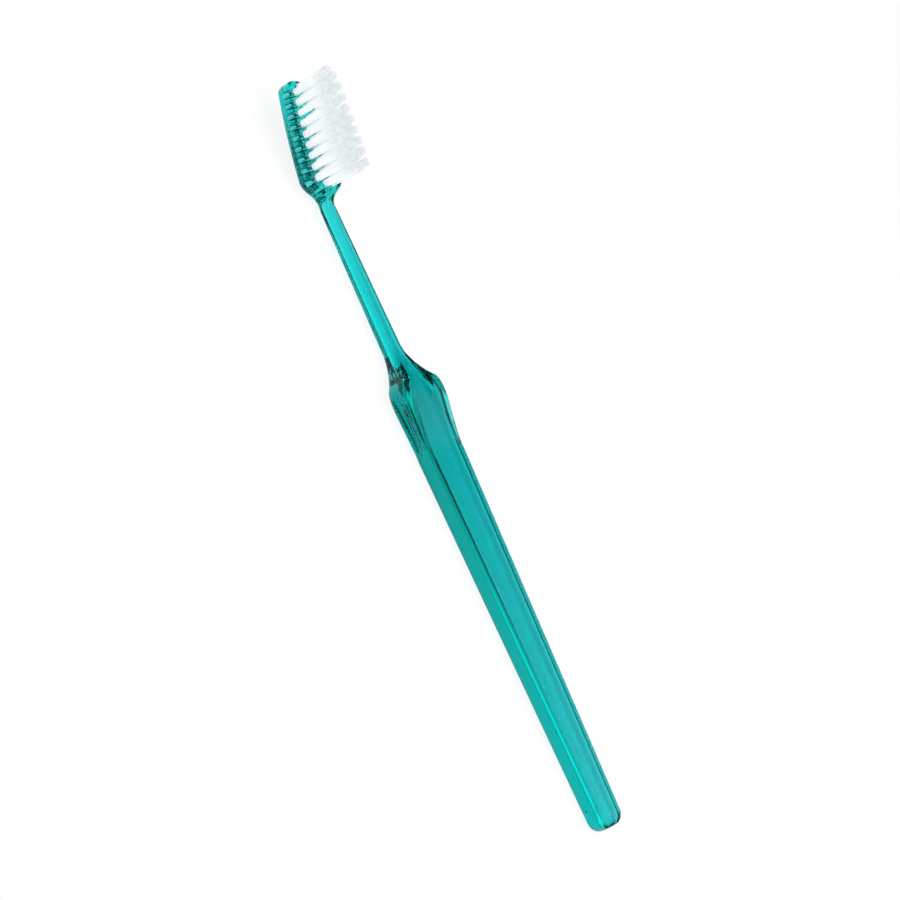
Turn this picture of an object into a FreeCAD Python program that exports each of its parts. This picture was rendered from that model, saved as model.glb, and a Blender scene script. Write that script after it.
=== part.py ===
import FreeCAD, Part
import math
import os
import Sketcher

# A manual toothbrush that lies on its back: +X runs from the tail to the head,
# +Z is the bristle side and +Y the left edge, seen from the tail.
# The origin is under the middle of the brush, on the surface it lies on.

sizes = {
    # lengths along the brush, measured from the end of the tail
    "overall_length": 185.8,
    "ramp_start": 90.0,
    "crest_at": 107.9,
    "flare_length": 10.1,
    # grip
    "tail_width": 8.6,
    "tail_thickness": 4.3,
    "tail_corner": 2.7,
    "waist_width": 12.6,
    "waist_thickness": 5.1,
    "grip_edge_radius": 1.2,
    "back_trim": 0.02,
    # shoulder
    "shoulder_width": 14.2,
    "shoulder_corner": 2.4,
    "shoulder_edge_radius": 1.9,
    "crest_height": 7.1,
    # finger scoops in both sides of the shoulder
    "scoop_length": 24.0,
    "scoop_radius": 2.5,
    "scoop_depth": 1.4,
    "scoop_height": 2.4,
    "scoop_setback": 10.9,
    # thumb valley in the front, which slopes down to the neck
    "valley_radius": 4.0,
    "valley_length": 16.0,
    "valley_slope": 11.0,
    "valley_setback": 6.5,
    # neck
    "neck_start_width": 4.9,
    "neck_end_width": 3.9,
    "neck_start_thickness": 3.7,
    "neck_end_thickness": 3.3,
    "neck_edge_radius": 1.5,
    "neck_start_lift": 0.1,
    "neck_end_lift": 0.3,
    # head
    "head_tilt": 8.7,
    "head_thickness": 4.4,
    "head_edge_radius": 1.3,
    "head_rim": 2.4,
    "tip_rim": 2.1,
    "tip_reach": 3.5,
    "heel_reach": 5.0,
    "heel_blend": 1.5,
    "heel_drop": 0.9,
    "face_height": 5.6,
    # tufts: the rows follow each other along the head, the spans lie across it
    "row_pitch": 2.68,
    "heel_span": 6.8,
    "tip_span": 3.3,
    "inner_span": 2.3,
    "hole_diameter": 1.6,
    "hole_depth": 3.0,
    "root_clearance": 0.05,
    "bristle_length": 10.2,
    "tuft_tip_diameter": 2.0,
    # flat metal anchors that hold the tufts in their holes
    "anchor_length": 1.9,
    "anchor_thickness": 0.28,
    "anchor_height": 1.4,
    "anchor_lift": 0.5,
    # ejector mark on the back of the tail
    "mark_diameter": 1.8,
    "mark_depth": 0.2,
    "mark_inset": 4.4,
}
outer_rows = 9
centre_rows = 4
inner_rows = 6
# the inner and centre rows stand halfway between the outer ones
first_centre_row = 0.5
first_inner_row = first_centre_row + centre_rows

doc = FreeCAD.newDocument("toothbrush")
sheet = doc.addObject("Spreadsheet::Sheet", "sheet")
for line, (alias, value) in enumerate(sizes.items(), start=1):
    sheet.set(f"A{line}", alias)
    sheet.set(f"B{line}", str(value))
    sheet.setAlias(f"B{line}", alias)
doc.recompute()


# Places on the brush, as expressions of the sheet

last_row = outer_rows - 1
tail_x = "(-sheet.overall_length/2)"
cos_tilt = "cos(sheet.head_tilt)"
sin_tilt = "sin(sheet.head_tilt)"
row_run = f"({last_row}*sheet.row_pitch)"
# the head's own origin lies on its bristle face, at the outer row nearest the handle
head_x = (
    f"(sheet.overall_length/2-({row_run}+sheet.tip_reach)*{cos_tilt}"
    f"-sheet.head_thickness/2*{sin_tilt})"
)


def on_head(along, across, above):
    # a point given along the head, across it and above its bristle face
    return {
        "x": f"{head_x}+({along})*{cos_tilt}-({above})*{sin_tilt}",
        "y": across,
        "z": f"sheet.face_height+({along})*{sin_tilt}+({above})*{cos_tilt}",
    }


def half_span(share):
    # half the distance between the outer columns, from the heel row (0) to the tip row (1)
    return f"(sheet.heel_span/2-(sheet.heel_span-sheet.tip_span)/2*{share * share:.4f})"


def smooth_step(share):
    return share * share * (3 - 2 * share)


def between(first, last, share):
    return f"({first}+({last}-({first}))*{share:.4f})"


# The moulded handle: grip, shoulder, neck and head, lofted through rounded sections

blank = doc.addObject("PartDesign::Body", "handle_blank")
planes = {plane.Role: plane for plane in blank.Origin.OriginFeatures}
vector = FreeCAD.Vector


def new_sketch(name, role):
    sketch = blank.newObject("Sketcher::SketchObject", name)
    sketch.AttachmentSupport = [(planes[role], "")]
    sketch.MapMode = "FlatFace"
    return sketch


def draw_rounded_rectangle(sketch, width, thickness, radius):
    # stands on the sketch's horizontal axis, centred on its vertical one
    half, high, corner = 4.0, 4.0, 1.0
    inner = half - corner
    lines = [
        ((-inner, 0), (inner, 0)),
        ((half, corner), (half, high - corner)),
        ((inner, high), (-inner, high)),
        ((-half, high - corner), (-half, corner)),
    ]
    centres = [(inner, corner), (inner, high - corner), (-inner, high - corner), (-inner, corner)]
    for turn, (line, centre) in enumerate(zip(lines, centres)):
        start, end = line
        sketch.addGeometry(Part.LineSegment(vector(*start), vector(*end)), False)
        circle = Part.Circle(vector(*centre), vector(0, 0, 1), corner)
        first = (turn - 1) * math.pi / 2
        sketch.addGeometry(Part.ArcOfCircle(circle, first, first + math.pi / 2), False)
    floor, right, top, left = 0, 2, 4, 6
    for line in (floor, right, top, left):
        sketch.addConstraint(Sketcher.Constraint("Tangent", line, 2, line + 1, 1))
        sketch.addConstraint(Sketcher.Constraint("Tangent", line + 1, 2, (line + 2) % 8, 1))
    for arc in (right + 1, top + 1, left + 1):
        sketch.addConstraint(Sketcher.Constraint("Equal", floor + 1, arc))
    sketch.addConstraint(Sketcher.Constraint("Symmetric", floor, 1, floor, 2, -2))
    sketch.addConstraint(Sketcher.Constraint("PointOnObject", floor, 1, -1))
    sketch.addConstraint(Sketcher.Constraint("Horizontal", top))
    sketch.addConstraint(Sketcher.Constraint("Vertical", right))
    sketch.addConstraint(Sketcher.Constraint("Vertical", left))
    driven = {
        "width": (Sketcher.Constraint("DistanceX", left, 1, right, 2, 2 * half), width),
        "thickness": (Sketcher.Constraint("DistanceY", floor, 2, top, 1, high), thickness),
        "radius": (Sketcher.Constraint("Radius", floor + 1, corner), radius),
    }
    for name, (constraint, expression) in driven.items():
        sketch.renameConstraint(sketch.addConstraint(constraint), name)
        sketch.setExpression(f"Constraints.{name}", expression)


def handle_section(name, along, width, floor, top, radius):
    # square to the handle, at a distance from the end of the tail
    sketch = new_sketch(name, "YZ_Plane")
    sketch.setExpression("AttachmentOffset.Base.y", floor)
    sketch.setExpression("AttachmentOffset.Base.z", f"{tail_x}+{along}")
    draw_rounded_rectangle(sketch, width, f"{top}-({floor})", radius)
    return sketch


def head_section(name, along, width, floor, top, radius):
    # square to the tilted head, with its floor and top measured from the bristle face
    sketch = new_sketch(name, "YZ_Plane")
    turn = FreeCAD.Rotation(vector(1, 0, 0), -sizes["head_tilt"])
    sketch.AttachmentOffset = FreeCAD.Placement(vector(), turn)
    place = on_head(along, "0", floor)
    sketch.setExpression("AttachmentOffset.Base.y", place["z"])
    sketch.setExpression("AttachmentOffset.Base.z", place["x"])
    sketch.setExpression("AttachmentOffset.Rotation.Angle", "-sheet.head_tilt")
    draw_rounded_rectangle(sketch, width, f"{top}-({floor})", radius)
    return sketch


def loft(name, sections, ruled=False):
    feature = blank.newObject("PartDesign::AdditiveLoft", name)
    feature.Profile = sections[0]
    feature.Sections = sections[1:]
    feature.Ruled = ruled
    return feature


def tail_section(share):
    # the end rounds off within one tail corner: share is 0 at the end and 1 where the grip begins
    edge_loss = 0.4
    drawn_in = 1 - math.sqrt(1 - (1 - share) ** 2)
    lift = f"sheet.grip_edge_radius*{drawn_in:.4f}"
    return handle_section(
        f"tail_section_{share * 100:03.0f}",
        f"sheet.tail_corner*{share}",
        f"sheet.tail_width-2*sheet.tail_corner*{drawn_in:.4f}",
        f"{lift}-sheet.back_trim",
        f"sheet.tail_thickness-{lift}",
        f"sheet.grip_edge_radius*{1 - edge_loss * drawn_in:.4f}",
    )


def ramp_section(share):
    # the front rises from the waist (0) to the crest (1), where the plan's corners are rounded off
    full_at = 0.85
    corner_from = 0.8
    widened = smooth_step(min(share / full_at, 1))
    rounded = (max(share - corner_from, 0) / (1 - corner_from)) ** 2
    full_width = between("sheet.waist_width", "sheet.shoulder_width", widened)
    return handle_section(
        f"ramp_section_{share * 100:03.0f}",
        between("sheet.ramp_start", "sheet.crest_at", share),
        f"{full_width}-sheet.shoulder_corner*{rounded:.4f}",
        "-sheet.back_trim",
        between("sheet.waist_thickness", "sheet.crest_height", smooth_step(share)),
        between("sheet.grip_edge_radius", "sheet.shoulder_edge_radius", share),
    )


def flare_section(share):
    # from the crest (0) to the neck (1) the sides draw in along a parabola while the front falls
    wide = (1 - share) ** 2
    fallen = 1 - (1 - share) ** 1.7
    neck_top = "(sheet.neck_start_lift+sheet.neck_start_thickness)"
    return handle_section(
        f"flare_section_{share * 100:03.0f}",
        f"(sheet.crest_at+sheet.flare_length*{share})",
        between("sheet.neck_start_width", "(sheet.shoulder_width-sheet.shoulder_corner)", wide),
        between("sheet.neck_start_lift", "-sheet.back_trim", wide),
        between("sheet.crest_height", neck_top, fallen),
        between("sheet.neck_edge_radius", "sheet.shoulder_edge_radius", wide),
    )


def heel_section(share):
    # the head widens from the neck (0) to its heel row (1), and its face rises to full height
    raised = smooth_step(min(2 * share, 1))
    return head_section(
        f"heel_section_{share * 100:03.0f}",
        f"-sheet.heel_reach*{1 - share:.4f}",
        between("sheet.neck_end_width", f"2*({half_span(0)}+sheet.head_rim)", smooth_step(share)),
        "-sheet.head_thickness",
        f"-sheet.heel_drop*{1 - raised:.4f}",
        between("sheet.neck_edge_radius", "sheet.head_edge_radius", share),
    )


def row_section(share):
    # the head tapers with the tuft columns, from the heel row (0) to the tip row (1)
    return head_section(
        f"row_section_{share * 100:03.0f}",
        f"{row_run}*{share}",
        f"2*({half_span(share)}+{between('sheet.head_rim', 'sheet.tip_rim', share)})",
        "-sheet.head_thickness",
        "0",
        "sheet.head_edge_radius",
    )


def tip_section(share, worn):
    # beyond the tip row the outline rounds off to a small flat, and the face and back draw in
    flat_left = 0.1
    edge_left = 0.22
    round_off = 1 - share ** 2
    lift = f"sheet.head_edge_radius*{worn}"
    return head_section(
        f"tip_section_{share * 100:03.0f}",
        f"{row_run}+sheet.tip_reach*{share}",
        f"2*({half_span(1)}+sheet.tip_rim)*{math.sqrt(flat_left ** 2 + round_off):.4f}",
        f"-sheet.head_thickness+{lift}",
        f"-{lift}",
        f"sheet.head_edge_radius*{math.sqrt(edge_left ** 2 + round_off):.4f}",
    )


# each section stands at a share of the way through its stretch of the handle
tail = [tail_section(share) for share in (0, 0.15, 0.45, 1)]
ramp = [ramp_section(share) for share in (0, 0.25, 0.5, 0.75, 0.9, 1)]
flare = [flare_section(share) for share in (0.12, 0.25, 0.4, 0.6, 0.8, 1)]
neck_end = handle_section(
    "neck_end_section",
    f"({head_x}-{tail_x}-(sheet.heel_reach+sheet.heel_blend)*{cos_tilt})",
    "sheet.neck_end_width",
    "sheet.neck_end_lift",
    "(sheet.neck_end_lift+sheet.neck_end_thickness)",
    "sheet.neck_edge_radius",
)
heel = [heel_section(share) for share in (0, 0.25, 0.5, 0.75, 1)]
rows = [row_section(share) for share in (0.25, 0.5, 0.75, 1)]
# at each share of the tip, how far the face and the back have drawn in
tip_wear = {0.4: 0, 0.7: 0.06, 0.88: 0.3, 0.97: 0.6, 1: 0.85}
tip = [tip_section(share, worn) for share, worn in tip_wear.items()]

loft("tail_end", tail)
loft("grip", [tail[-1], ramp[0]], ruled=True)
loft("ramp", ramp)
loft("flare", [ramp[-1]] + flare)
loft("neck", [flare[-1], neck_end], ruled=True)
loft("heel", [neck_end] + heel)
loft("head", [heel[-1]] + rows)
loft("head_tip", [rows[-1]] + tip)


def finger_scoop(name, side):
    # a slim spindle, turned about a line beside the shoulder, hollows its side
    sketch = new_sketch(f"{name}_profile", "XY_Plane")
    off_centre = "(sheet.shoulder_width/2+sheet.scoop_radius-sheet.scoop_depth)"
    sketch.setExpression("AttachmentOffset.Base.x", f"{tail_x}+sheet.crest_at-sheet.scoop_setback")
    sketch.setExpression("AttachmentOffset.Base.y", f"{side}*{off_centre}")
    sketch.setExpression("AttachmentOffset.Base.z", "sheet.scoop_height")
    half, rise = sizes["scoop_length"] / 2, sizes["scoop_radius"]
    arc = Part.Arc(vector(half, 0), vector(0, rise), vector(-half, 0))
    sketch.addGeometry(arc, False)
    sketch.addGeometry(Part.LineSegment(vector(-half, 0), vector(half, 0)), False)
    sketch.addConstraint(Sketcher.Constraint("Coincident", 0, 2, 1, 1))
    sketch.addConstraint(Sketcher.Constraint("Coincident", 1, 2, 0, 1))
    sketch.addConstraint(Sketcher.Constraint("PointOnObject", 1, 1, -1))
    sketch.addConstraint(Sketcher.Constraint("Symmetric", 1, 1, 1, 2, -2))
    length = sketch.addConstraint(Sketcher.Constraint("DistanceX", 1, 1, 1, 2, 2 * half))
    drawn_radius = (half ** 2 + rise ** 2) / (2 * rise)
    radius = sketch.addConstraint(Sketcher.Constraint("Radius", 0, drawn_radius))
    bulge = "((sheet.scoop_length/2)^2+sheet.scoop_radius^2)/(2*sheet.scoop_radius)"
    sketch.setExpression(f"Constraints[{length}]", "sheet.scoop_length")
    sketch.setExpression(f"Constraints[{radius}]", bulge)
    groove = blank.newObject("PartDesign::Groove", name)
    groove.Profile = sketch
    groove.ReferenceAxis = (sketch, ["H_Axis"])
    groove.Angle = 360


finger_scoop("left_scoop", 1)
finger_scoop("right_scoop", -1)

mark_sketch = new_sketch("ejector_mark_circle", "XY_Plane")
mark_sketch.setExpression("AttachmentOffset.Base.x", f"{tail_x}+sheet.mark_inset")
mark_sketch.addGeometry(Part.Circle(vector(), vector(0, 0, 1), sizes["mark_diameter"] / 2), False)
mark_sketch.addConstraint(Sketcher.Constraint("Coincident", 0, 3, -1, 1))
mark_number = mark_sketch.addConstraint(Sketcher.Constraint("Diameter", 0, sizes["mark_diameter"]))
mark_sketch.setExpression(f"Constraints[{mark_number}]", "sheet.mark_diameter")
mark = blank.newObject("PartDesign::Pocket", "ejector_mark")
mark.Profile = mark_sketch
mark.Reversed = True
mark.setExpression("Length", "sheet.mark_depth")
doc.recompute()


# Tufts, their holes and their anchors, all set square to the bristle face

sub_parts = []
holes = []
anchors = []


def set_on_head(obj, along, across, above):
    obj.Placement.Rotation = FreeCAD.Rotation(vector(0, 1, 0), -sizes["head_tilt"])
    obj.setExpression("Placement.Rotation.Angle", "-sheet.head_tilt")
    for axis, expression in on_head(along, across, above).items():
        obj.setExpression(f"Placement.Base.{axis}", expression)


def primitive(kind, name, along, across, above, **lengths):
    obj = doc.addObject(kind, name)
    for prop, expression in lengths.items():
        obj.setExpression(prop, expression)
    set_on_head(obj, along, across, above)
    return obj


def boolean(kind, name, base, tool):
    obj = doc.addObject(kind, name)
    obj.Base = base
    obj.Tool = tool
    return obj


def tuft(name, along, across):
    # a bundle that fills its hole, spreads towards the trimmed end and straddles a flat anchor
    root_radius = "sheet.hole_diameter/2-sheet.root_clearance"
    hole = primitive(
        "Part::Cylinder", f"{name}_hole", along, across, "-sheet.hole_depth",
        Radius="sheet.hole_diameter/2", Height="sheet.hole_depth+sheet.hole_diameter",
    )
    root = primitive(
        "Part::Cylinder", f"{name}_root", along, across, "-sheet.hole_depth",
        Radius=root_radius, Height="sheet.hole_depth",
    )
    spread = primitive(
        "Part::Cone", f"{name}_spread", along, across, "0",
        Radius1=root_radius, Radius2="sheet.tuft_tip_diameter/2", Height="sheet.bristle_length",
    )
    anchor = primitive(
        "Part::Box", f"{name}_anchor", f"{along}-sheet.anchor_length/2",
        f"{across}-sheet.anchor_thickness/2", "-sheet.hole_depth+sheet.anchor_lift",
        Length="sheet.anchor_length", Width="sheet.anchor_thickness", Height="sheet.anchor_height",
    )
    bundle = boolean("Part::Fuse", f"{name}_bundle", root, spread)
    sub_parts.append(boolean("Part::Cut", name, bundle, anchor))
    holes.append(hole)
    return anchor


def column(name, rows, first_row, across):
    # rows are counted from the tip; across gives the distance from the centre line for each row
    column_anchors = []
    for number in range(rows):
        steps = last_row - (first_row - 1 + number)
        along = f"({steps}*sheet.row_pitch)"
        column_anchors.append(tuft(f"tuft_{name}_{number + 1}", along, across(steps / last_row)))
    group = doc.addObject("Part::Compound", f"anchors_{name}")
    group.Links = column_anchors
    sub_parts.append(group)
    anchors.append(group)


for side, sign in (("left", ""), ("right", "-")):
    column(f"outer_{side}", outer_rows, 1, lambda share: f"{sign}{half_span(share)}")
    column(f"inner_{side}", inner_rows, first_inner_row, lambda share: f"{sign}sheet.inner_span/2")
column("centre", centre_rows, first_centre_row, lambda share: "0")

# a gouge runs down from the front of the shoulder to the neck
valley = doc.addObject("Part::Cylinder", "thumb_valley")
valley.setExpression("Radius", "sheet.valley_radius")
valley.setExpression("Height", "sheet.valley_length")
valley.Placement.Rotation = FreeCAD.Rotation(vector(0, 1, 0), 90 + sizes["valley_slope"])
valley.setExpression("Placement.Rotation.Angle", "90+sheet.valley_slope")
valley.setExpression("Placement.Base.x", f"{tail_x}+sheet.crest_at-sheet.valley_setback")
valley.setExpression("Placement.Base.z", "sheet.crest_height+sheet.valley_radius")

# the back is trimmed to one flat face, on which the brush lies
resting_block = doc.addObject("Part::Box", "resting_block")
resting_block.setExpression("Length", "sheet.overall_length")
resting_block.setExpression("Width", "2*sheet.shoulder_width")
resting_block.setExpression("Height", "sheet.shoulder_width")
resting_block.setExpression("Placement.Base.x", tail_x)
resting_block.setExpression("Placement.Base.y", "-sheet.shoulder_width")
resting_block.setExpression("Placement.Base.z", "-sheet.shoulder_width")

cut_away = doc.addObject("Part::Compound", "cut_away")
cut_away.Links = holes + anchors + [valley, resting_block]
sub_parts.append(boolean("Part::Cut", "handle", blank, cut_away))
doc.recompute()


# Every object has to be sound before anything is written

for obj in doc.Objects:
    if "Invalid" in obj.State or "Error" in obj.State:
        raise RuntimeError(f"{obj.Name} failed: {obj.State}")
for obj in sub_parts:
    obj.Label = obj.Name
    if obj.Shape.isNull() or not obj.Shape.isValid() or not obj.Shape.Solids:
        raise RuntimeError(f"{obj.Label} has no sound shape")

os.makedirs("parts", exist_ok=True)
for obj in sub_parts:
    obj.Shape.exportStep(f"parts/{obj.Label}.step")
print(f"{len(sub_parts)} sub-parts, handle volume {sub_parts[-1].Shape.Volume:.1f} mm3")
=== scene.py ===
import bmesh
import bpy
import math
import random
from mathutils import Matrix, Vector


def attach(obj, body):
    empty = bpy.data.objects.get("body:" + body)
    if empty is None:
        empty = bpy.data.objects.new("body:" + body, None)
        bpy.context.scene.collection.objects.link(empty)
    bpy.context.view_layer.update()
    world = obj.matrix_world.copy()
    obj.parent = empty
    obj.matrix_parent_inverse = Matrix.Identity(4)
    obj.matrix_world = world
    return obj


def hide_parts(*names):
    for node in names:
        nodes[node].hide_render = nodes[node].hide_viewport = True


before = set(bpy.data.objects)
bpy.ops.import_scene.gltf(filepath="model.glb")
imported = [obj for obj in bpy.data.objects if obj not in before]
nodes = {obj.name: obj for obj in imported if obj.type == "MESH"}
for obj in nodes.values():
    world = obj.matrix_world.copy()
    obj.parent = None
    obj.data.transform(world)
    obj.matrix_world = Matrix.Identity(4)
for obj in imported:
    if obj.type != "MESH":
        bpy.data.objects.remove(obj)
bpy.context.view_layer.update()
mm = 0.001
print("frame loaded,", len(nodes), "nodes")


# small helpers for node trees

def newMaterial(name):
    material = bpy.data.materials.new(name)
    material.use_nodes = True
    material.node_tree.nodes.clear()
    return material, material.node_tree.nodes, material.node_tree.links


def addNode(tree, kind, place, **sockets):
    node = tree.new(kind)
    node.location = place
    for name, value in sockets.items():
        node.inputs[name.replace("_", " ")].default_value = value
    return node


def objectNoise(tree, links, place, scale, detail):
    coords = addNode(tree, "ShaderNodeTexCoord", (place[0] - 400, place[1]))
    noise = addNode(tree, "ShaderNodeTexNoise", place, Scale=scale, Detail=detail)
    links.new(coords.outputs["Object"], noise.inputs["Vector"])
    return noise


def rampBetween(tree, links, source, place, low, high, start=0.3, end=0.7):
    ramp = addNode(tree, "ShaderNodeValToRGB", place)
    ramp.color_ramp.elements[0].position = start
    ramp.color_ramp.elements[0].color = low
    ramp.color_ramp.elements[1].position = end
    ramp.color_ramp.elements[1].color = high
    links.new(source, ramp.inputs["Fac"])
    return ramp


def plug(links, socket, value):
    # a number or a colour is set, and an output is linked
    if isinstance(value, (int, float, tuple)):
        socket.default_value = value
    else:
        links.new(value, socket)


def addMath(tree, links, kind, place, first, second):
    node = addNode(tree, "ShaderNodeMath", place)
    node.operation = kind
    plug(links, node.inputs[0], first)
    plug(links, node.inputs[1], second)
    return node.outputs["Value"]


def addMix(tree, links, place, factor, first, second, kind="MIX"):
    # the node has sockets for each data type: inputs 6 and 7 and output 2 are the colours
    node = addNode(tree, "ShaderNodeMix", place)
    node.data_type = "RGBA"
    node.blend_type = kind
    plug(links, node.inputs[0], factor)
    plug(links, node.inputs[6], first)
    plug(links, node.inputs[7], second)
    return node.outputs[2]


def grey(level):
    return (level, level, level, 1)


# clear tinted plastic: the colour comes from the depth of plastic that light crosses

clearTeal = {
    "ior": 1.49,
    "tintLow": (0.90, 0.99, 0.985, 1), "tintHigh": (0.96, 1.0, 1.0, 1),
    "flowScale": 55.0, "flowDetail": 3.0,
    "roughLow": 0.01, "roughHigh": 0.025, "roughSpan": (0.45, 0.8),
    "scuffScale": 900.0, "scuffDetail": 4.0,
    "waveScale": 90.0, "waveDetail": 1.0, "waveDepth": 0.000002, "waveStrength": 0.3,
    "glint": (0.12, 0.65, 0.67, 1),
    "absorb": (0.0, 0.914, 0.904, 1), "density": 900.0,
    "shadowTint": (0.18, 0.60, 0.82, 1),
}


def makeClearTeal(plan):
    material, tree, links = newMaterial("clear_teal_plastic")
    flow = objectNoise(tree, links, (-700, 200), plan["flowScale"], plan["flowDetail"])
    scuff = objectNoise(tree, links, (-700, -250), plan["scuffScale"], plan["scuffDetail"])
    tint = rampBetween(tree, links, flow.outputs["Fac"], (-450, 250),
                       plan["tintLow"], plan["tintHigh"])
    rough = rampBetween(tree, links, scuff.outputs["Fac"], (-450, -50),
                        grey(plan["roughLow"]), grey(plan["roughHigh"]), *plan["roughSpan"])
    wave = objectNoise(tree, links, (-700, -550), plan["waveScale"], plan["waveDetail"])
    bump = addNode(tree, "ShaderNodeBump", (-450, -350),
                   Strength=plan["waveStrength"], Distance=plan["waveDepth"])
    links.new(wave.outputs["Fac"], bump.inputs["Height"])
    plastic = addNode(tree, "ShaderNodeBsdfPrincipled", (50, 150), IOR=plan["ior"],
                      Transmission_Weight=1.0, Specular_Tint=plan["glint"])
    links.new(tint.outputs["Color"], plastic.inputs["Base Color"])
    links.new(rough.outputs["Color"], plastic.inputs["Roughness"])
    links.new(bump.outputs["Normal"], plastic.inputs["Normal"])
    # lamps shine through it, so that it throws a tinted shadow
    path = addNode(tree, "ShaderNodeLightPath", (50, 500))
    through = addNode(tree, "ShaderNodeBsdfTransparent", (50, -300), Color=plan["shadowTint"])
    mix = addNode(tree, "ShaderNodeMixShader", (350, 150))
    links.new(path.outputs["Is Shadow Ray"], mix.inputs["Fac"])
    links.new(plastic.outputs["BSDF"], mix.inputs[1])
    links.new(through.outputs["BSDF"], mix.inputs[2])
    depth = addNode(tree, "ShaderNodeVolumeAbsorption", (350, -100),
                    Color=plan["absorb"], Density=plan["density"])
    out = addNode(tree, "ShaderNodeOutputMaterial", (600, 100))
    links.new(mix.outputs["Shader"], out.inputs["Surface"])
    links.new(depth.outputs["Volume"], out.inputs["Volume"])
    return material


bristleNylon = {
    "ior": 1.53,
    "low": (0.89, 0.915, 0.925, 1), "high": (0.94, 0.95, 0.96, 1), "tintSpan": (0.0, 0.35),
    "scale": 700.0, "detail": 2.0,
    "roughLow": 0.3, "roughHigh": 0.5,
    # painted shade: the filament tips are painted a little greyer, standing in for the light they
    # let out
    "tipShadeTone": (0.78, 0.79, 0.80, 1), "tipShadeFade": (0.68, 1.0),
    # painted glow: an emission stands in for light that wanders through the filaments
    "glow": (0.91, 0.97, 0.98, 1), "paintedGlowLevel": 0.18,
}


def makeBristleNylon(plan):
    material, tree, links = newMaterial("bristle_nylon")
    strand = addNode(tree, "ShaderNodeAttribute", (-700, 250))
    strand.attribute_name = "strand"
    mottle = objectNoise(tree, links, (-700, -50), plan["scale"], plan["detail"])
    blend = addMath(tree, links, "MULTIPLY", (-500, 150),
                    strand.outputs["Fac"], mottle.outputs["Fac"])
    tint = rampBetween(tree, links, blend, (-300, 200),
                       plan["low"], plan["high"], *plan["tintSpan"])
    height = addNode(tree, "ShaderNodeAttribute", (-700, 500))
    height.attribute_name = "height"
    # painted shade: the base colour greys towards the filament tips
    paintedTipShade = rampBetween(tree, links, height.outputs["Fac"], (-500, 500),
                       grey(1), plan["tipShadeTone"], *plan["tipShadeFade"])
    body = addMix(tree, links, (-150, 350), 1.0,
                  tint.outputs["Color"], paintedTipShade.outputs["Color"], "MULTIPLY")
    rough = rampBetween(tree, links, mottle.outputs["Fac"], (-300, -100),
                        grey(plan["roughLow"]), grey(plan["roughHigh"]))
    # the emission is a painted glow, the filaments are no lamp
    shader = addNode(tree, "ShaderNodeBsdfPrincipled", (0, 150), IOR=plan["ior"],
                     Emission_Color=plan["glow"], Emission_Strength=plan["paintedGlowLevel"])
    links.new(body, shader.inputs["Base Color"])
    links.new(rough.outputs["Color"], shader.inputs["Roughness"])
    out = addNode(tree, "ShaderNodeOutputMaterial", (300, 150))
    links.new(shader.outputs["BSDF"], out.inputs["Surface"])
    return material


anchorMetal = {
    "low": (0.62, 0.60, 0.54, 1), "high": (0.80, 0.78, 0.72, 1),
    "scale": 1800.0, "detail": 3.0,
    "roughLow": 0.22, "roughHigh": 0.42,
}


def makeAnchorMetal(plan):
    material, tree, links = newMaterial("anchor_metal")
    grain = objectNoise(tree, links, (-600, 100), plan["scale"], plan["detail"])
    tint = rampBetween(tree, links, grain.outputs["Fac"], (-350, 200), plan["low"], plan["high"])
    rough = rampBetween(tree, links, grain.outputs["Fac"], (-350, -80),
                        grey(plan["roughLow"]), grey(plan["roughHigh"]))
    metal = addNode(tree, "ShaderNodeBsdfPrincipled", (0, 150), Metallic=1.0)
    links.new(tint.outputs["Color"], metal.inputs["Base Color"])
    links.new(rough.outputs["Color"], metal.inputs["Roughness"])
    out = addNode(tree, "ShaderNodeOutputMaterial", (300, 150))
    links.new(metal.outputs["BSDF"], out.inputs["Surface"])
    return material


tealPlastic = makeClearTeal(clearTeal)
nylon = makeBristleNylon(bristleNylon)
nickelSilver = makeAnchorMetal(anchorMetal)
print("materials made")


# the moulded handle and the anchors keep their solids and get their finish

def finishNode(name, material):
    mesh = nodes[name].data
    mesh.materials.clear()
    mesh.materials.append(material)


finishNode("handle", tealPlastic)
for name in nodes:
    if name.startswith("anchors_"):
        finishNode(name, nickelSilver)


# the head: its face is tilted, and the tufts stand square to it

head = {
    "originX": 67.914, "faceZ": 5.6, "tilt": 8.7,
    "pitch": 2.68, "stagger": 0.5,
    "outerRows": 9, "innerRows": 6, "centreRows": 4,
    "heelSpan": 6.8, "tipSpan": 3.3, "innerSpan": 2.3,
}
headPlace = Matrix.Translation((head["originX"] * mm, 0, head["faceZ"] * mm)) @ Matrix.Rotation(
    math.radians(-head["tilt"]), 4, "Y")


def halfSpan(share):
    return head["heelSpan"] / 2 - (head["heelSpan"] - head["tipSpan"]) / 2 * share * share


def tuftPlaces():
    places = {}
    pitch = head["pitch"]
    last = head["outerRows"] - 1
    for side, sign in (("left", 1), ("right", -1)):
        for number in range(head["outerRows"]):
            steps = last - number
            places[f"outer_{side}_{number + 1}"] = (steps * pitch, sign * halfSpan(steps / last))
        for number in range(head["innerRows"]):
            steps = last - (head["centreRows"] - head["stagger"] + number)
            places[f"inner_{side}_{number + 1}"] = (steps * pitch, sign * head["innerSpan"] / 2)
    for number in range(head["centreRows"]):
        steps = last - (number - head["stagger"])
        places[f"centre_{number + 1}"] = (steps * pitch, 0.0)
    return places


tuft = {
    "strands": 46, "strandRadius": 0.088, "sides": 5,
    "levels": (0.28, 0.52, 0.76, 0.99, 1.0), "endScale": 0.55,
    "rootDepth": 2.9, "length": 10.2, "rootRadius": 0.7, "tipRadius": 1.05,
    "turnStep": 2.39996, "turnJitter": 0.2,
    # the roots are pressed apart by the anchor
    "anchorGap": 0.24, "rootSquash": 0.62,
    "bow": 0.07, "wander": 0.05, "uneven": 0.09,
}


def onlyVerts(items):
    return [item for item in items if isinstance(item, bmesh.types.BMVert)]


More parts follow.
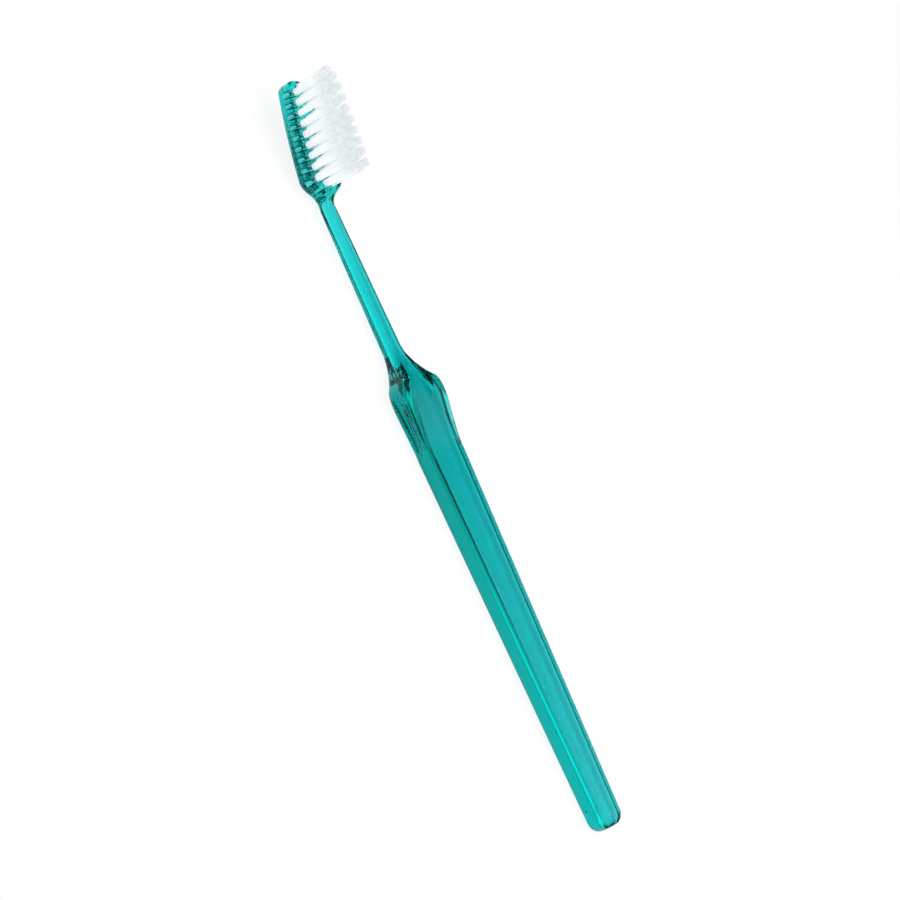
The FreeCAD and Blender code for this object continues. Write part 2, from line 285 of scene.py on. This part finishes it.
def makeStrand(plan):
    # one filament along +Z from 0 to 1, gently bowed, with a rounded end
    bm = bmesh.new()
    ring = bmesh.ops.create_circle(bm, cap_ends=False, segments=plan["sides"],
                                   radius=plan["strandRadius"] * mm)
    edges = list({edge for vert in ring["verts"] for edge in vert.link_edges})
    for level in plan["levels"]:
        grown = bmesh.ops.extrude_edge_only(bm, edges=edges)["geom"]
        verts = onlyVerts(grown)
        edges = [item for item in grown if isinstance(item, bmesh.types.BMEdge)]
        bow = plan["bow"] * mm * math.sin(math.pi * level)
        middle = sum((vert.co for vert in verts), Vector()) / len(verts)
        bmesh.ops.translate(bm, verts=verts, vec=Vector((bow, 0, level)) - middle)
        if level == plan["levels"][-1]:
            bmesh.ops.scale(bm, verts=verts, vec=(plan["endScale"], plan["endScale"], 1),
                            space=Matrix.Translation((-bow, 0, 0)))
    bmesh.ops.edgeloop_fill(bm, edges=edges)
    bmesh.ops.recalc_face_normals(bm, faces=bm.faces)
    return bm


def makeTuft(name, along, across, plan, seed):
    dice = random.Random(seed)
    bm = makeStrand(plan)
    strand = bm.verts.layers.float.new("strand")
    height = bm.verts.layers.float.new("height")
    for vert in bm.verts:
        vert[height] = vert.co.z
    first = list(bm.verts) + list(bm.edges) + list(bm.faces)
    for number in range(plan["strands"]):
        verts = onlyVerts(bmesh.ops.duplicate(bm, geom=first)["geom"])
        reach = math.sqrt((number + 0.5) / plan["strands"])
        turn = number * plan["turnStep"] + dice.uniform(-plan["turnJitter"], plan["turnJitter"])
        rootX = plan["rootRadius"] * reach * math.cos(turn)
        rootY = plan["rootRadius"] * reach * math.sin(turn)
        rootY = math.copysign(plan["anchorGap"] + abs(rootY) * plan["rootSquash"], rootY)
        tipX = plan["tipRadius"] * reach * math.cos(turn) + dice.gauss(0, plan["wander"])
        tipY = plan["tipRadius"] * reach * math.sin(turn) + dice.gauss(0, plan["wander"])
        reached = plan["rootDepth"] + plan["length"] - abs(dice.gauss(0, plan["uneven"]))
        shear = Matrix.Identity(4)
        shear[0][2] = (tipX - rootX) * mm
        shear[1][2] = (tipY - rootY) * mm
        shear[2][2] = reached * mm
        root = Matrix.Translation((rootX * mm, rootY * mm, -plan["rootDepth"] * mm))
        spun = Matrix.Rotation(dice.uniform(0, 2 * math.pi), 4, "Z")
        bmesh.ops.transform(bm, matrix=root @ shear @ spun, verts=verts)
        shade = dice.random()
        for vert in verts:
            vert[strand] = shade
    bmesh.ops.delete(bm, geom=onlyVerts(first), context="VERTS")
    stand = headPlace @ Matrix.Translation((along * mm, across * mm, 0))
    bmesh.ops.transform(bm, matrix=stand, verts=bm.verts)
    for face in bm.faces:
        face.smooth = True
    mesh = bpy.data.meshes.new(f"bristles_{name}")
    bm.to_mesh(mesh)
    bm.free()
    mesh.materials.append(nylon)
    piece = bpy.data.objects.new(f"bristles_{name}", mesh)
    bpy.context.scene.collection.objects.link(piece)
    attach(piece, "root")
    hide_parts(f"tuft_{name}")


for seed, (name, (along, across)) in enumerate(tuftPlaces().items()):
    makeTuft(name, along, across, tuft, seed)
print("tufts planted")


# floor, light and camera

studio = {
    "floorSize": 6.0, "floorLow": 0.0002, "floorWhite": (0.93, 0.93, 0.93, 1),
    "floorGlow": 0.85, "floorThrough": 0.08, "floorSpread": (0.25, 0.8),
    "skyLow": (0.05, 0.06, 0.06, 1), "skyHigh": (0.97, 0.97, 1.0, 1), "skyEdge": (0.3, 0.5),
    "skyFront": (0.15, 0.15, 0.15, 1), "frontEdge": (0.1, 0.4), "skyLevel": 0.74,
    "sheenHead": (0.1, 0.14, 0.14, 1), "sheenTail": (1, 1, 1, 1),
    "sheenMiddle": 0.5, "sheenEdge": (0.3, 0.55),
    "lamps": {
        "key": {"place": (-0.45, -0.15, 0.75), "size": 0.5, "power": 3.2},
        "fill": {"place": (-0.1, 0.6, 0.5), "size": 0.7, "power": 0.7},
        "top": {"place": (0.05, -0.05, 0.9), "size": 0.9, "power": 2.8},
    },
}


def seenDirectly(tree, links, direct, through):
    # the share of plain white: to the camera and in reflections, and through the plastic
    path = addNode(tree, "ShaderNodeLightPath", (-1100, 300))
    passed = path.outputs["Is Transmission Ray"]
    bounced = addMath(tree, links, "SUBTRACT", (-900, 250), path.outputs["Is Glossy Ray"], passed)
    seen = addMath(tree, links, "MAXIMUM", (-750, 400), path.outputs["Is Camera Ray"], bounced)
    near = addMath(tree, links, "MULTIPLY", (-600, 400), seen, direct)
    far = addMath(tree, links, "MULTIPLY", (-600, 200), passed, through)
    return addMath(tree, links, "MAXIMUM", (-450, 300), near, far)


def makeFloor(plan):
    bm = bmesh.new()
    bmesh.ops.create_grid(bm, x_segments=1, y_segments=1, size=plan["floorSize"] / 2)
    bmesh.ops.translate(bm, verts=bm.verts, vec=(0, 0, -plan["floorLow"]))
    mesh = bpy.data.meshes.new("studio_floor")
    bm.to_mesh(mesh)
    bm.free()
    floor = bpy.data.objects.new("studio_floor", mesh)
    bpy.context.scene.collection.objects.link(floor)
    material, tree, links = newMaterial("studio_white")
    # near white to the camera, mostly shaded paper through the plastic, and it keeps its shadow
    paper = addNode(tree, "ShaderNodeBsdfDiffuse", (-100, 100), Color=plan["floorWhite"])
    glow = addNode(tree, "ShaderNodeEmission", (-100, -100), Strength=1.0)
    mix = addNode(tree, "ShaderNodeMixShader", (150, 100))
    # far from the brush it is plain white, so that its edge does not show
    coords = addNode(tree, "ShaderNodeTexCoord", (-1700, 600))
    reach = addNode(tree, "ShaderNodeVectorMath", (-1500, 600))
    reach.operation = "LENGTH"
    links.new(coords.outputs["Object"], reach.inputs[0])
    spread = rampBetween(tree, links, reach.outputs["Value"], (-1300, 600),
                         grey(plan["floorGlow"]), grey(1), *plan["floorSpread"])
    white = seenDirectly(tree, links, spread.outputs["Color"], plan["floorThrough"])
    links.new(white, mix.inputs["Fac"])
    links.new(paper.outputs["BSDF"], mix.inputs[1])
    links.new(glow.outputs["Emission"], mix.inputs[2])
    out = addNode(tree, "ShaderNodeOutputMaterial", (400, 100))
    links.new(mix.outputs["Shader"], out.inputs["Surface"])
    mesh.materials.append(material)


def makeSky(plan):
    world = bpy.data.worlds.new("studio_sky")
    world.use_nodes = True
    bpy.context.scene.world = world
    tree, links = world.node_tree.nodes, world.node_tree.links
    tree.clear()
    coords = addNode(tree, "ShaderNodeTexCoord", (-1100, -100))
    split = addNode(tree, "ShaderNodeSeparateXYZ", (-900, -100))
    links.new(coords.outputs["Generated"], split.inputs["Vector"])
    # a white tent overhead, open along the horizon and darker towards +Y
    rise = rampBetween(tree, links, split.outputs["Z"], (-600, 0),
                       plan["skyLow"], plan["skyHigh"], *plan["skyEdge"])
    front = rampBetween(tree, links, split.outputs["Y"], (-600, -250),
                        grey(1), plan["skyFront"], *plan["frontEdge"])
    tent = addMix(tree, links, (-300, -100), 1.0,
                  rise.outputs["Color"], front.outputs["Color"], "MULTIPLY")
    # its sheen on the plastic grows towards the tail, and the camera itself looks at plain white
    shift = addMath(tree, links, "SUBTRACT", (-750, -500), plan["sheenMiddle"], split.outputs["X"])
    along = rampBetween(tree, links, shift, (-600, -500),
                        plan["sheenHead"], plan["sheenTail"], *plan["sheenEdge"])
    sheen = addMix(tree, links, (-300, -350), 1.0,
                   rise.outputs["Color"], along.outputs["Color"], "MULTIPLY")
    path = addNode(tree, "ShaderNodeLightPath", (-500, 300))
    bounced = addMath(tree, links, "SUBTRACT", (-300, 200),
                      path.outputs["Is Glossy Ray"], path.outputs["Is Transmission Ray"])
    inside = addMix(tree, links, (-100, -200), bounced, tent, sheen)
    shade = addMix(tree, links, (-100, 0), path.outputs["Is Camera Ray"], inside, (1, 1, 1, 1))
    shown = addNode(tree, "ShaderNodeBackground", (100, 150), Strength=1.0)
    ambient = addNode(tree, "ShaderNodeBackground", (100, -100), Strength=plan["skyLevel"])
    links.new(shade, shown.inputs["Color"])
    mix = addNode(tree, "ShaderNodeMixShader", (350, 0))
    links.new(seenDirectly(tree, links, 1.0, 1.0), mix.inputs["Fac"])
    links.new(ambient.outputs["Background"], mix.inputs[1])
    links.new(shown.outputs["Background"], mix.inputs[2])
    out = addNode(tree, "ShaderNodeOutputWorld", (550, 0))
    links.new(mix.outputs["Shader"], out.inputs["Surface"])


def makeLamps(plan):
    for name, lamp in plan["lamps"].items():
        light = bpy.data.lights.new(f"lamp_{name}", "AREA")
        light.size = lamp["size"]
        light.energy = lamp["power"]
        holder = bpy.data.objects.new(f"lamp_{name}", light)
        holder.location = lamp["place"]
        aim = -Vector(lamp["place"])
        holder.rotation_euler = aim.to_track_quat("-Z", "Y").to_euler()
        bpy.context.scene.collection.objects.link(holder)


makeFloor(studio)
makeSky(studio)
makeLamps(studio)
print("studio lit")

view = {
    "place": (-0.0728, 0.2899, 0.2277), "lens": 65.97, "sensor": 36, "clipStart": 0.01,
    "right": (-0.40673, -0.61566, 0.67494), "up": (0.89406, -0.11646, 0.43254),
}


def makeCamera(plan):
    camera = bpy.data.objects.new("camera", bpy.data.cameras.new("camera"))
    camera.data.lens = plan["lens"]
    camera.data.sensor_width = plan["sensor"]
    camera.data.clip_start = plan["clipStart"]
    right, up = Vector(plan["right"]), Vector(plan["up"])
    axes = Matrix((right, up, right.cross(up))).transposed().to_4x4()
    camera.matrix_world = Matrix.Translation(plan["place"]) @ axes
    bpy.context.scene.collection.objects.link(camera)
    bpy.context.scene.camera = camera


makeCamera(view)
bpy.context.scene.view_settings.view_transform = "Standard"
print("camera set")
